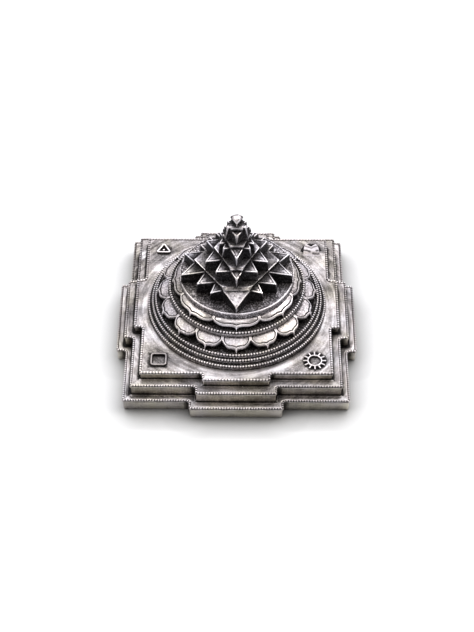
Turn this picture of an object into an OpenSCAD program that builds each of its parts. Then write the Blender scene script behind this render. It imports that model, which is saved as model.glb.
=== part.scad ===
// Meru shri yantra: a stepped silver diagram, built from soldered castings and beaded wire.
// Millimetres, +Z up, the front is -Y, the underside stands on z = 0.

/* [Square tiers] */
// Width of the lowest tier, without its gates
lower_w = 69.8; // [68:0.2:76]
// Height of the lowest tier
lower_h = 4.4; // [3.6:0.1:6]
// How far the middle tier stands in from the lowest on each side
middle_setback = 2.4; // [2:0.1:2.8]
// Height of the middle tier
middle_h = 4; // [3.4:0.1:6]
// How far the top tier stands in from the middle one on each side
upper_setback = 2.9; // [2.2:0.1:3.2]
// Height of the top tier
upper_h = 2.7; // [2.4:0.1:4]
// Wall of the cast tiers
wall_t = 1.5; // [1.2:0.1:1.8]
// Thickness of the tier tops
top_t = 1.3; // [1.1:0.1:1.5]
// How far a tier top overhangs its wall
cornice_out = 0.3; // [0.2:0.05:0.4]
// Depth of the tier top's overhanging edge
cornice_h = 1; // [0.8:0.1:1.1]

/* [Gates] */
// Width of the lowest gate
lower_gate_w = 29; // [28:0.5:34]
// How far the lowest gate stands out
lower_gate_out = 3.1; // [2.8:0.1:3.4]
// How much narrower each gate is than the one below, on each side
gate_step = 2.05; // [1.6:0.05:2.4]
// How much less each gate stands out than the one below
gate_out_step = 0.2; // [0:0.05:0.3]

/* [Beaded wire] */
// Diameter of the wire across its beads
wire_d = 0.8; // [0.6:0.05:0.9]
// How far the wire's centre stands in from the edge it trims
wire_inset = 0.35; // [0.3:0.05:0.45]
// Depth of the rebate that the wire lies in
wire_sink = 0.45; // [0.35:0.05:0.5]
// Side clearance of the wire in its rebate
wire_gap = 0.1; // [0.08:0.01:0.15]

/* [Round steps] */
// Plate left between the top tier's wire and the lowest round step
step_gap = 0.55; // [0.3:0.05:1.2]
// How far the second step stands in
step_in_2 = 1.3; // [1.2:0.05:1.4]
// How far the third step stands in
step_in_3 = 1; // [0.95:0.05:1.2]
// Height of a round step
step_h = 1.32; // [1.1:0.02:1.8]
// Width of the seat that the dish has round the well
dish_seat = 3.85; // [2.5:0.05:6]

/* [Lotus rings] */
// Clearance from the top step's wire to the tips of the sixteen petals
outer_lotus_gap = 0.1; // [0.05:0.05:0.5]
// Depth of the sixteen petals, from the notches to the tips
outer_petal_l = 2.25; // [1.9:0.05:2.7]
// How far the tips of the sixteen petals run out past their shoulders
outer_point = 0.45; // [0.3:0.05:0.7]
// Height of the outer lotus at its petal tips
outer_tip_h = 2.1; // [1.6:0.1:2.4]
// Height of the outer lotus at its seat
outer_lotus_h = 3.4; // [2.9:0.1:4]
// How far the collar stands in from the notches of the sixteen petals
collar_gap = 1.35; // [1.1:0.05:1.7]
// Height of the collar
collar_h = 1.7; // [1.3:0.1:2.2]
// Clearance from the collar's wire to the tips of the eight petals
inner_lotus_gap = 0.4; // [0.1:0.05:0.8]
// Depth of the eight petals, from the notches to the tips
inner_petal_l = 1; // [0.8:0.05:1.4]
// How far the tips of the eight petals run out past their shoulders
inner_point = 0.65; // [0.4:0.05:0.8]
// Height of the inner lotus at its petal tips
inner_tip_h = 1.5; // [1.2:0.1:1.8]
// Height of the inner lotus at its seat
inner_lotus_h = 2.8; // [2.4:0.1:3.4]
// Flatness of the hollow curve that runs out to a petal's tip: at 1 it leaves the shoulder without a corner
ogee = 1.3; // [1.15:0.05:2]
// Gap between neighbouring petals at the notch
petal_gap = 0.1; // [0.06:0.02:0.2]

/* [Star tower] */
// How far the dish stands in from the notches of the eight petals
dish_gap = 1.25; // [1:0.05:1.6]
// Height of the dish at its rim
dish_h = 2.2; // [1.8:0.1:2.8]
// Width of the dish's raised rim
rim_t = 0.45; // [0.3:0.05:0.5]
// Depth of the dish's floor below the rim
floor_sink = 0.25; // [0.15:0.05:0.4]
// Height of a star's points above its seat
point_h = 3.6; // [2.8:0.1:5]
// Step from a star's points up to its inner field
field_h = 1.75; // [1.2:0.05:2.2]
// How steeply a star's points rise towards the middle
point_slope = 0.16; // [0:0.02:0.2]
// Land left between a star's notches and its field
notch_land = 0.11; // [0.08:0.01:0.2]
// Diameter of the pegs that locate one star on the next
peg_d = 1.2; // [0.9:0.05:1.4]
// Length of the pegs
peg_h = 1.2; // [0.8:0.1:1.5]
// Clearance round and under a peg
peg_gap = 0.08; // [0.05:0.01:0.12]
// Height of the bindu, with the triangle below it
bindu_h = 3.3; // [2.8:0.1:4.2]

/* [Corner emblems] */
// How far the emblems' middles stand in from the edges of the top tier
emblem_inset = 5.4; // [5:0.1:5.8]
// Height of the emblems above the top tier
emblem_h = 0.7; // [0.4:0.05:1]
// Width of the emblems' raised lines
line_w = 0.6; // [0.45:0.05:0.7]
// Width of the square emblem
square_w = 5.1; // [4.2:0.1:5.4]
// Radius of the square emblem's corners
corner_r = 0.9; // [0.7:0.05:1.2]
// Number of rays on the sun emblem
ray_count = 12; // [8:1:14]

/* [Hidden] */
$fn = 96;
EPS = 0.01;

// Fall of a petal's edge from the foot of its tip to its round shoulder
shoulder_fall = 0.03;

// Flat left on a lotus ring round the piece that stands on it
seat_margin = 0.05;

// Tiers, counted from the lowest: half width, gate half width, gate reach, foot and top
tier_half = [
    lower_w / 2,
    lower_w / 2 - middle_setback,
    lower_w / 2 - middle_setback - upper_setback
];
gate_half = [for (i = [0:2]) lower_gate_w / 2 - i * gate_step];
gate_out = [for (i = [0:2]) lower_gate_out - i * gate_out_step];
tier_h = [lower_h, middle_h, upper_h];
tier_foot = [0, lower_h, lower_h + middle_h];
plinth_h = lower_h + middle_h + upper_h;

// Beaded wire
wire_r = wire_d / 2;
wire_bend = wire_r + 2 * wire_gap;
rebate_w = wire_inset + wire_r + wire_gap;

// Radii of the stacked castings, each taken from the one outside it
step_r = tier_half[2] - rebate_w - step_gap;
outer_lotus_r = step_r - step_in_2 - step_in_3 - rebate_w - outer_lotus_gap;
outer_notch_r = outer_lotus_r - outer_petal_l;
collar_r = outer_notch_r - collar_gap;
inner_lotus_r = collar_r - rebate_w - inner_lotus_gap;
inner_notch_r = inner_lotus_r - inner_petal_l;
dish_r = inner_notch_r - dish_gap;
well_r = dish_r - dish_seat;
emblem_at = tier_half[2] - emblem_inset;

// Round steps, counted from the lowest: radius and foot
round_r = [step_r, step_r - step_in_2, step_r - step_in_2 - step_in_3];
round_foot = [for (i = [0:2]) plinth_h + i * step_h];

// Heights of the stacked castings
outer_lotus_z = plinth_h + 3 * step_h;
collar_z = outer_lotus_z + outer_lotus_h;
inner_lotus_z = collar_z + collar_h;
dish_z = inner_lotus_z + inner_lotus_h;
floor_z = dish_z + dish_h - floor_sink;
star_h = point_h + field_h;

// The star figure: the circle's diameter is 48 parts, counted from the back to the front.
// L holds the nine cross lines, and each triangle has its tip, its side's slope and its base line.
star_r = dish_r - rim_t;
part = star_r / 24;
land = notch_land / part;
L = [0, 7.4, 12, 17, 20, 23, 27, 30, 36, 40.6];

function chord_half(y) = sqrt(24 * 24 - (24 - y) * (24 - y));

// A side starts at the tip and passes through the point at half width x on line y
function side_slope(tip, x, y) = x / abs(y - tip);
function half_at(tip, slope, y) = slope * abs(y - tip);

s3 = side_slope(48, chord_half(L[3]), L[3]);
s7 = side_slope(0, chord_half(L[7]), L[7]);
s9 = side_slope(L[3], half_at(48, s3, L[8]) + land, L[8]);
s8 = side_slope(L[1], half_at(48, s3, L[7]) + land, L[7]);
s2 = side_slope(L[9], half_at(0, s7, L[3]) + land, L[3]);
s1 = side_slope(L[6], half_at(0, s7, L[2]) + land, L[2]);
s4 = side_slope(L[8], half_at(L[1], s8, L[4]), L[4]);
s6 = side_slope(L[2], half_at(L[9], s2, L[6]), L[6]);
s5 = side_slope(L[7], half_at(L[2], s6, L[5]), L[5]);

// Each star: the triangles that point to the front, then those that point to the back
fourteen = [
    [[48, s3, L[3]], [L[9], s2, L[2]], [L[6], s1, L[1]]],
    [[0, s7, L[7]], [L[1], s8, L[8]], [L[3], s9, L[9]]]
];
outer_ten = [
    [[L[9], s2, L[3]], [L[6], s1, L[2]]],
    [[L[1], s8, L[7]], [L[3], s9, L[8]]]
];
inner_ten = [
    [[L[8], s4, L[4]], [L[6], s1, L[3]]],
    [[L[2], s6, L[6]], [L[3], s9, L[7]]]
];
eight = [
    [[L[7], s5, L[5]], [L[6], s1, L[4]]],
    [[L[3], s9, L[6]]]
];
centre = [L[6], s1, L[5]];
bindu_y = (24 - (2 * centre[2] + centre[0]) / 3) * part;

// Plan of a tier: a square with a gate on the middle of each side, drawn in by inset
module gated_square(i, inset) {
    h = tier_half[i] - inset;
    g = gate_half[i] - inset;
    square(2 * h, center = true);
    square([2 * g, 2 * (h + gate_out[i])], center = true);
    square([2 * (h + gate_out[i]), 2 * g], center = true);
}

// Corners of one side of a tier's outline, then the whole outline, drawn in by inset
function side_corners(h, g, out) = [[-h, -h], [-g, -h], [-g, -h - out], [g, -h - out], [g, -h]];
function turned(p, k) = [
    p[0] * cos(90 * k) - p[1] * sin(90 * k),
    p[0] * sin(90 * k) + p[1] * cos(90 * k)
];
function tier_corners(i, inset) = [
    for (k = [0:3], p = side_corners(tier_half[i] - inset, gate_half[i] - inset, gate_out[i])) turned(p, k)
];

// One hollow tier, open below, with an overhanging top, a rebate for its wire and a seat for what stands on it
module tier(i) {
    h = tier_h[i];
    translate([0, 0, tier_foot[i]])
        difference() {
            union() {
                linear_extrude(h - cornice_h) gated_square(i, cornice_out);
                translate([0, 0, h - cornice_h]) linear_extrude(cornice_h) gated_square(i, 0);
            }
            translate([0, 0, -EPS])
                linear_extrude(h - top_t + EPS) gated_square(i, cornice_out + wall_t);
            translate([0, 0, h - wire_sink])
                linear_extrude(wire_sink + EPS)
                    difference() {
                        gated_square(i, -1);
                        gated_square(i, rebate_w);
                    }
            tier_opening(i);
        }
}

// The opening in a tier's top: the upper tier's wall lands outside it, and the well continues the top tier's
module tier_opening(i) {
    if (i < 2) {
        opening = tier_half[i + 1] - cornice_out - 2 * wall_t;
        linear_extrude(tier_h[i] + EPS) square(2 * opening, center = true);
    } else {
        cylinder(r = well_r, h = tier_h[i] + EPS);
    }
}

// Round wire along a tier's edge: straight lengths and bent corners that meet on flat ends
module tier_wire(i) {
    p = tier_corners(i, wire_inset);
    n = len(p);
    translate([0, 0, tier_foot[i] + tier_h[i] - wire_sink + wire_r])
        for (k = [0:n - 1]) {
            a = p[k];
            b = p[(k + 1) % n];
            c = p[(k + 2) % n];
            d1 = (b - a) / norm(b - a);
            d2 = (c - b) / norm(c - b);
            left = d1[0] * d2[1] - d1[1] * d2[0] > 0;
            start = left ? atan2(-d2[1], -d2[0]) : atan2(d1[1], d1[0]);
            translate(a + d1 * wire_bend)
                rotate([0, 0, atan2(d1[1], d1[0])])
                    rotate([0, 90, 0])
                        cylinder(r = wire_r, h = norm(b - a) - 2 * wire_bend);
            translate(b + (d2 - d1) * wire_bend)
                rotate([0, 0, start])
                    rotate_extrude(angle = 90)
                        translate([wire_bend, 0]) circle(wire_r);
        }
}

// A flat ring with a rebate for its wire
module trimmed_ring(r, h, z) {
    translate([0, 0, z])
        difference() {
            cylinder(r = r, h = h);
            translate([0, 0, -EPS]) cylinder(r = well_r, h = h + 2 * EPS);
            translate([0, 0, h - wire_sink])
                difference() {
                    cylinder(r = r + 1, h = wire_sink + EPS);
                    translate([0, 0, -EPS]) cylinder(r = r - rebate_w, h = wire_sink + 3 * EPS);
                }
        }
}

// The wire of a ring of radius r whose top is at z
module ring_wire(r, z) {
    translate([0, 0, z - wire_sink + wire_r])
        rotate_extrude()
            translate([r - wire_inset, 0]) circle(wire_r);
}

// Plan of one petal towards +Y: round shoulders that start at the notches, and an ogee tip
module petal_plan(n, notch_r, tip_r, point) {
    base = notch_r * cos(180 / n);
    top = tip_r - point;
    shoulder = top - base;
    flank = notch_r * sin(180 / n) - petal_gap - shoulder;
    foot = 0.6 * flank;
    chord = norm([foot, point]);
    hollow = ogee * chord * chord / (2 * point);
    reach = sqrt(hollow * hollow - chord * chord / 4) / chord;
    difference() {
        polygon([
            [flank, base - shoulder / 2], [flank, top - shoulder_fall], [foot, top], [0, tip_r],
            [-foot, top], [-flank, top - shoulder_fall], [-flank, base - shoulder / 2]
        ]);
        for (s = [-1, 1])
            translate([s * (foot / 2 + point * reach), top + point / 2 + foot * reach]) circle(hollow);
    }
    for (s = [-1, 1]) translate([s * flank, base]) circle(shoulder);
}

// A ring of petals: the top of each slopes from a flat seat down to its tip
module lotus(n, notch_r, tip_r, point, tip_h, seat_r, seat_h, z) {
    fall = atan2(seat_h - tip_h, tip_r - seat_r);
    translate([0, 0, z])
        difference() {
            linear_extrude(seat_h) {
                circle(notch_r);
                for (k = [0:n - 1]) rotate(180 + k * 360 / n) petal_plan(n, notch_r, tip_r, point);
            }
            for (k = [0:n - 1])
                rotate(180 + k * 360 / n)
                    translate([-tip_r, seat_r, seat_h])
                        rotate([-fall, 0, 0]) cube([2 * tip_r, tip_r, seat_h]);
            translate([0, 0, -EPS]) cylinder(r = well_r, h = seat_h + 2 * EPS);
        }
}

// One triangle of the star figure, cut at its base line
module triangle(t) {
    half = half_at(t[0], t[1], t[2]) * part;
    polygon([[0, (24 - t[0]) * part], [half, (24 - t[2]) * part], [-half, (24 - t[2]) * part]]);
}

module triangles(list) {
    for (t = list) triangle(t);
}

// The part of a star inside its points, where the next star stands
module field_plan(star) {
    intersection() {
        triangle(star[0][0]);
        triangles(star[1]);
    }
    intersection() {
        triangle(star[1][0]);
        triangles(star[0]);
    }
}

// Locating peg below a casting, and the hole for it in the casting underneath
module peg(y, z) {
    translate([0, y, z - peg_h]) cylinder(d = peg_d, h = peg_h + EPS);
}

module peg_hole(y, z) {
    translate([0, y, z - peg_h - peg_gap]) cylinder(d = peg_d + 2 * peg_gap, h = peg_h + peg_gap + EPS);
}

// One cast star: points that slope up to a raised field, on a peg, with a hole at hole_y for the next peg
module star_casting(star, level, hole_y = 0) {
    z = floor_z + level * star_h;
    reach = norm([0, 24 - star[0][0][0]]) * part;
    difference() {
        union() {
            intersection() {
                translate([0, 0, z])
                    linear_extrude(star_h) {
                        triangles(star[0]);
                        triangles(star[1]);
                    }
                translate([0, 0, z])
                    rotate_extrude()
                        polygon([
                            [0, 0], [star_r + 2, 0],
                            [star_r + 2, point_h - point_slope * (star_r + 2 - reach)],
                            [0, point_h + point_slope * reach]
                        ]);
            }
            translate([0, 0, z]) linear_extrude(star_h) field_plan(star);
            peg(0, z);
        }
        peg_hole(hole_y, z + star_h);
    }
}

module place_emblem(sx, sy) {
    translate([sx * emblem_at, sy * emblem_at, plinth_h]) linear_extrude(emblem_h) children();
}

module rounded_square(w, r) {
    square([w, w - 2 * r], center = true);
    square([w - 2 * r, w], center = true);
    for (x = [-1, 1], y = [-1, 1]) translate([x, y] * (w / 2 - r)) circle(r);
}

// The three tiers
module lower_tier() { color("#b8b3ad") tier(0); }
module middle_tier() { color("#bdb8b2") tier(1); }
module upper_tier() { color("#c4c0ba") tier(2); }

// The beaded wires of the tiers
module lower_tier_wire() { color("#d9d6d0") tier_wire(0); }
module middle_tier_wire() { color("#d9d6d0") tier_wire(1); }
module upper_tier_wire() { color("#d9d6d0") tier_wire(2); }

// The three round steps and their wires
module lower_step() { color("#6f6b67") trimmed_ring(round_r[0], step_h, round_foot[0]); }
module middle_step() { color("#6f6b67") trimmed_ring(round_r[1], step_h, round_foot[1]); }
module upper_step() { color("#6f6b67") trimmed_ring(round_r[2], step_h, round_foot[2]); }
module lower_step_wire() { color("#d9d6d0") ring_wire(round_r[0], round_foot[0] + step_h); }
module middle_step_wire() { color("#d9d6d0") ring_wire(round_r[1], round_foot[1] + step_h); }
module upper_step_wire() { color("#d9d6d0") ring_wire(round_r[2], round_foot[2] + step_h); }

// The two lotus rings and the collar between them
module sixteen_petal_lotus() {
    color("#d2cec8")
        lotus(
            16, outer_notch_r, outer_lotus_r, outer_point, outer_tip_h,
            collar_r + seat_margin, outer_lotus_h, outer_lotus_z
        );
}
module collar() { color("#6f6b67") trimmed_ring(collar_r, collar_h, collar_z); }
module collar_wire() { color("#d9d6d0") ring_wire(collar_r, collar_z + collar_h); }
module eight_petal_lotus() {
    color("#d2cec8")
        lotus(
            8, inner_notch_r, inner_lotus_r, inner_point, inner_tip_h,
            dish_r + seat_margin, inner_lotus_h, inner_lotus_z
        );
}

// The dish that carries the stars, with a raised rim
module star_dish() {
    color("#4a4744")
        translate([0, 0, dish_z])
            difference() {
                cylinder(r = dish_r, h = dish_h);
                translate([0, 0, dish_h - floor_sink]) cylinder(r = star_r, h = floor_sink + EPS);
                peg_hole(0, dish_h - floor_sink);
            }
}

// The four stars, from the dish upwards
module fourteen_point_star() { color("#8f8b86") star_casting(fourteen, 0); }
module outer_ten_point_star() { color("#97938e") star_casting(outer_ten, 1); }
module inner_ten_point_star() { color("#9f9b96") star_casting(inner_ten, 2); }
module eight_point_star() { color("#a7a39e") star_casting(eight, 3, bindu_y); }

// The centre triangle, rounded over into the bindu
module bindu() {
    z = floor_z + 4 * star_h;
    base = (24 - centre[2]) * part;
    half = half_at(centre[0], centre[1], centre[2]) * part;
    r = 1.025 * norm([half, base - bindu_y]);
    color("#d9d6d0") {
        intersection() {
            translate([0, 0, z]) linear_extrude(bindu_h) triangle(centre);
            translate([0, bindu_y, z]) {
                cylinder(r = r, h = bindu_h - r);
                translate([0, 0, bindu_h - r]) sphere(r);
            }
        }
        peg(bindu_y, z);
    }
}

// The four emblems on the top tier
module square_emblem() {
    color("#cfccc6")
        place_emblem(-1, -1)
            difference() {
                rounded_square(square_w, corner_r);
                rounded_square(square_w - 2 * line_w, corner_r - line_w);
            }
}

// A triangle that points to the back, with a dot in it
module triangle_emblem() {
    w = 0.94 * square_w;
    h = 0.86 * square_w;
    color("#cfccc6") {
        place_emblem(-1, 1)
            difference() {
                triangle_plate(w, h, 0);
                triangle_plate(w, h, line_w);
            }
        translate([-emblem_at, emblem_at + h / 3 - h / 2, plinth_h]) cylinder(r = line_w * 0.8, h = emblem_h);
    }
}

module triangle_plate(w, h, inset) {
    side = norm([w / 2, h]);
    drop = inset * side / (w / 2);
    half = (w / 2) * (h - inset - drop) / h;
    translate([0, -h / 2]) polygon([[-half, inset], [half, inset], [0, h - drop]]);
}

// A ring with rays
module sun_emblem() {
    color("#cfccc6")
        place_emblem(1, -1)
            difference() {
                union() {
                    circle(0.42 * square_w);
                    for (k = [0:ray_count - 1])
                        rotate(k * 360 / ray_count)
                            translate([-0.45 * line_w, 0.35 * square_w]) square([0.9 * line_w, 0.3 * square_w]);
                }
                circle(0.42 * square_w - 0.75 * line_w);
            }
}

// A two-lobed open form with a notch towards the back and two windows towards the front
module crescent_emblem() {
    w = 0.64 * square_w;
    h = 0.5 * square_w;
    color("#cfccc6")
        place_emblem(1, 1)
            difference() {
                polygon([
                    [-w, -h], [w, -h], [0.75 * w, 0.55 * h], [0.4 * w, h],
                    [0, 0.5 * h], [-0.4 * w, h], [-0.75 * w, 0.55 * h]
                ]);
                for (s = [-1, 1])
                    polygon([
                        [s * 0.14 * w, -0.6 * h], [s * 0.72 * w, -0.6 * h],
                        [s * 0.6 * w, 0], [s * 0.14 * w, -0.15 * h]
                    ]);
            }
}

lower_tier();
middle_tier();
upper_tier();
lower_tier_wire();
middle_tier_wire();
upper_tier_wire();
lower_step();
middle_step();
upper_step();
lower_step_wire();
middle_step_wire();
upper_step_wire();
sixteen_petal_lotus();
collar();
collar_wire();
eight_petal_lotus();
star_dish();
fourteen_point_star();
outer_ten_point_star();
inner_ten_point_star();
eight_point_star();
bindu();
square_emblem();
triangle_emblem();
sun_emblem();
crescent_emblem();
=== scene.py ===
"""Looks of the meru shri yantra: oxidised silver tiers, beaded wire, lotus rings and a tower of stars."""

import math

import bpy
import numpy as np
from mathutils import Matrix, Vector


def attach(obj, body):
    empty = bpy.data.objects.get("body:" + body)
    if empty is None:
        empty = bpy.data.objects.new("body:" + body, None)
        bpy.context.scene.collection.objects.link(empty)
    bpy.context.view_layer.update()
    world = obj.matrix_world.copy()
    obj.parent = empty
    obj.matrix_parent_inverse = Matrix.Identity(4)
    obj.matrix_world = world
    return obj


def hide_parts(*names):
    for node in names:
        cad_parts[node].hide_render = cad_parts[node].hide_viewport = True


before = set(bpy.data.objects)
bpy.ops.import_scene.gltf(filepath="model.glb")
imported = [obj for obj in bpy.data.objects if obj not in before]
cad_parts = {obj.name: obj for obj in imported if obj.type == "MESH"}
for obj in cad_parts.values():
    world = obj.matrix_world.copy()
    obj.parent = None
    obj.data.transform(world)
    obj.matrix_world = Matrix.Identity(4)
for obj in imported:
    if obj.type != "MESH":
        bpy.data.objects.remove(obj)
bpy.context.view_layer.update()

# Sizes in millimetres, as in the part's source

MM = 0.001
WELL_R = 14.0
# Three tiers, from the lowest up
TIER_HALF = (34.9, 32.5, 29.6)
TIER_H = (4.4, 4.0, 2.7)
GATE_HALF = (14.5, 12.45, 10.4)
GATE_OUT = (3.1, 2.9, 2.7)
CORNICE_OUT = 0.3
CORNICE_H = 1.0
WALL_T = 1.5
TOP_T = 1.3
# Wires, and how far they lie in from an edge and below it
WIRE_R = 0.4
WIRE_INSET = 0.35
WIRE_SINK = 0.45
# Round steps, lotus rings, collar and dish
STEP_R = (28.2, 26.9, 25.9)
STEP_H = 1.32
OUTER_LOTUS_H = 3.4
COLLAR_R = 21.35
COLLAR_H = 1.7
INNER_LOTUS_H = 2.8
DISH_R = 17.85
DISH_H = 2.2
DISH_FLOOR_H = 1.95
RIM_T = 0.45
# Stars, in a circle of 48 parts across, and bindu
STAR_R = 17.4
MIDDLE_LINE = 24
POINT_H = 3.6
FIELD_H = 1.75
POINT_SLOPE = 0.16
BINDU_H = 3.3
# Corner emblems
EMBLEM_AT = 24.2
EMBLEM_H = 0.7
SQUARE_W = 5.1

# Heights and shares that follow from these
TIER_TOP = np.cumsum(TIER_H)
TIER_FOOT = TIER_TOP - TIER_H
PLATE_Z = TIER_TOP[-1]
STEP_FOOT = PLATE_Z + STEP_H * np.arange(3)
OUTER_LOTUS_Z = PLATE_Z + 3 * STEP_H
COLLAR_Z = OUTER_LOTUS_Z + OUTER_LOTUS_H
INNER_LOTUS_Z = COLLAR_Z + COLLAR_H
DISH_Z = INNER_LOTUS_Z + INNER_LOTUS_H
FLOOR_Z = DISH_Z + DISH_FLOOR_H
STAR_H = POINT_H + FIELD_H
PART = STAR_R / MIDDLE_LINE
NOTCH_LAND = 0.11 / PART


# Meshes from grids of points


def sheet(points, dark, close_rows=False, close_cols=True):
    """A closed grid of points P(row, column) in millimetres, with a darkness from 0, bright, over 1, black,
    to 1.25, where no light gets in."""
    dark = np.broadcast_to(np.asarray(dark, float), points.shape[:2])
    return points, np.clip(dark, 0, 1.25), close_rows, close_cols


def sheet_faces(points, close_rows, close_cols):
    """Four corners for each cell of the grid; a closed direction has a last cell back to its start."""
    rows, cols = points.shape[:2]
    r0, c0 = np.meshgrid(
        np.arange(rows if close_rows else rows - 1),
        np.arange(cols if close_cols else cols - 1),
        indexing="ij",
    )
    r1 = (r0 + 1) % rows
    c1 = (c0 + 1) % cols
    corners = [r0 * cols + c0, r0 * cols + c1, r1 * cols + c1, r1 * cols + c0]
    return np.stack(corners, axis=-1).reshape(-1, 4)


def welded(points, dark, close_rows, close_cols):
    """Merges equal points, so that seams and poles close, and turns the sheet to a positive volume."""
    quads = sheet_faces(points, close_rows, close_cols)
    flat = points.reshape(-1, 3)
    keys = np.round(flat * 5000).astype(np.int64)
    _, first, inverse = np.unique(keys, axis=0, return_index=True, return_inverse=True)
    quads = inverse.reshape(-1)[quads]
    flat = flat[first]
    dark = dark.reshape(-1)[first]
    a, b, c, d = flat[quads].transpose(1, 0, 2)
    volume = (a * np.cross(b, c)).sum() + (a * np.cross(c, d)).sum()
    if volume < 0:
        quads = quads[:, ::-1]
    same = quads == np.roll(quads, -1, axis=1)
    count = same.sum(axis=1)
    whole = quads[count == 0]
    whole = whole[(whole[:, 0] != whole[:, 2]) & (whole[:, 1] != whole[:, 3])]
    cut = quads[count == 1]
    keep = ~same[count == 1]
    triangles = cut[keep].reshape(-1, 3)
    return flat, dark, triangles, whole


def silver_piece(name, node, material, sheets, crease=34):
    """One object from several sheets, with the darkness of each point kept as its point attribute: oxide
    together with painted light and shade.
    """
    points, dark, triangles, quads = zip(*(welded(*one) for one in sheets))
    first = np.cumsum([0] + [len(part) for part in points])
    triangles = np.concatenate([part + start for part, start in zip(triangles, first)])
    quads = np.concatenate([part + start for part, start in zip(quads, first)])
    points = np.concatenate(points) * MM
    dark = np.concatenate(dark)
    loops = np.concatenate([triangles.ravel(), quads.ravel()]).astype(np.int32)
    ends = 3 * len(triangles)
    starts = np.concatenate([np.arange(len(triangles)) * 3, ends + np.arange(len(quads)) * 4])
    starts = starts.astype(np.int32)
    mesh = bpy.data.meshes.new(name)
    mesh.vertices.add(len(points))
    mesh.vertices.foreach_set("co", points.astype(np.float32).ravel())
    mesh.loops.add(len(loops))
    mesh.loops.foreach_set("vertex_index", loops)
    mesh.polygons.add(len(starts))
    mesh.polygons.foreach_set("loop_start", starts)
    mesh.polygons.foreach_set("use_smooth", np.ones(len(starts), bool))
    mesh.attributes.new("patina_and_painted_light", "FLOAT", "POINT").data.foreach_set("value", dark.astype(np.float32))
    mesh.update(calc_edges=True)
    mesh.validate()
    mesh.set_sharp_from_angle(angle=math.radians(crease))
    mesh.materials.append(material)
    obj = bpy.data.objects.new(name, mesh)
    bpy.context.collection.objects.link(obj)
    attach(obj, "root")
    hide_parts(node)
    return obj


def fade(value, full, gone):
    """1 up to full, 0 from gone on, and a smooth curve between them."""
    t = np.clip((np.asarray(value, float) - full) / (gone - full), 0, 1)
    return 1 - t * t * (3 - 2 * t)


def gain(value, none, full):
    """0 up to none and 1 from full on: fade the other way round."""
    return 1 - fade(value, none, full)


def length(vectors):
    """Length of each vector of an array."""
    return np.linalg.norm(vectors, axis=-1)


def unit(vectors):
    """Each vector of an array at length 1."""
    return vectors / np.linalg.norm(vectors, axis=-1, keepdims=True)


def raised(xy, z):
    """Plan points lifted to their heights."""
    return np.concatenate([xy, np.broadcast_to(z, xy.shape[:-1])[..., None]], axis=-1)


def path_length(path):
    """Length of a closed path."""
    return length(np.roll(path, -1, axis=0) - path).sum()


def along_path(path, way):
    """The points that lie at the given ways along a closed path."""
    steps = length(np.roll(path, -1, axis=0) - path)
    along = np.concatenate([[0], np.cumsum(steps)])
    closed = np.concatenate([path, path[:1]])
    return np.stack([np.interp(way, along, closed[:, k]) for k in (0, 1)], axis=-1)


def distance_to_sides(xy, a, b):
    """Distance from each point to the nearest of the straight sides from a to b."""
    side = b - a
    gap = xy[..., None, :] - a
    t = np.clip((gap * side).sum(-1) / (side * side).sum(-1), 0, 1)
    return length(gap - side * t[..., None]).min(axis=-1)


def turned(profile, columns, dark, close_rows=True):
    """A profile of radius and height carried round the Z axis."""
    profile = np.asarray(profile, float)
    angle = np.linspace(0, 2 * math.pi, columns, endpoint=False)
    r = profile[:, :1]
    z = np.broadcast_to(profile[:, 1:2], (len(profile), columns))
    points = np.stack([r * np.cos(angle), r * np.sin(angle), z], axis=-1)
    return sheet(points, np.asarray(dark, float)[:, None], close_rows)


def rotated(points, angle):
    """Points turned about the Z axis by an angle in radians."""
    c = math.cos(angle)
    s = math.sin(angle)
    return points @ np.array([[c, s, 0], [-s, c, 0], [0, 0, 1]])


# Square tiers with their gates

# Painted highlights on the plate: bright spots in place of reflections
PLATE_HIGHLIGHTS = ((-29.8, -1.0), (-18.5, -26.5), (30.2, -12.0))
# Specks of solder on the lower two treads
SOLDER_SPECKS = (
    ((-32.1, -33.2), (-25.1, -32.9), (-21.8, -33.1)),
    ((-24.9, -29.9), (-2.0, -32.6), (2.0, -32.6)),
)
# Painted shade of each emblem: its side in x and in y, half width, shade round it, start and end of that
# fade, tone inside
EMBLEM_SHADE = (
    (-1, -1, 2.5, 0.5, 0.1, 0.9, 0.3),
    (-1, 1, 2.0, 0.4, 0.1, 0.9, 0.7),
    (1, -1, 2.4, 0.75, 0.8, 1.7, 0.25),
    (1, 1, 2.6, 0.12, 0.1, 1.0, 0.7),
)


def tier_corners(tier, insets):
    """Twenty corners of a tier's plan, drawn in by each inset: five for each side, turned by quarters."""
    d = np.asarray(insets, float)
    h = TIER_HALF[tier] - d
    g = GATE_HALF[tier] - d
    out = GATE_OUT[tier]
    x = np.stack([-h, -g, -g, g, g], axis=-1)
    y = np.stack([-h, -h, -h - out, -h - out, -h], axis=-1)
    sides = [np.stack([x, y], -1), np.stack([-y, x], -1), np.stack([-x, -y], -1), np.stack([y, -x], -1)]
    return np.concatenate(sides, axis=-2)


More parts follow.
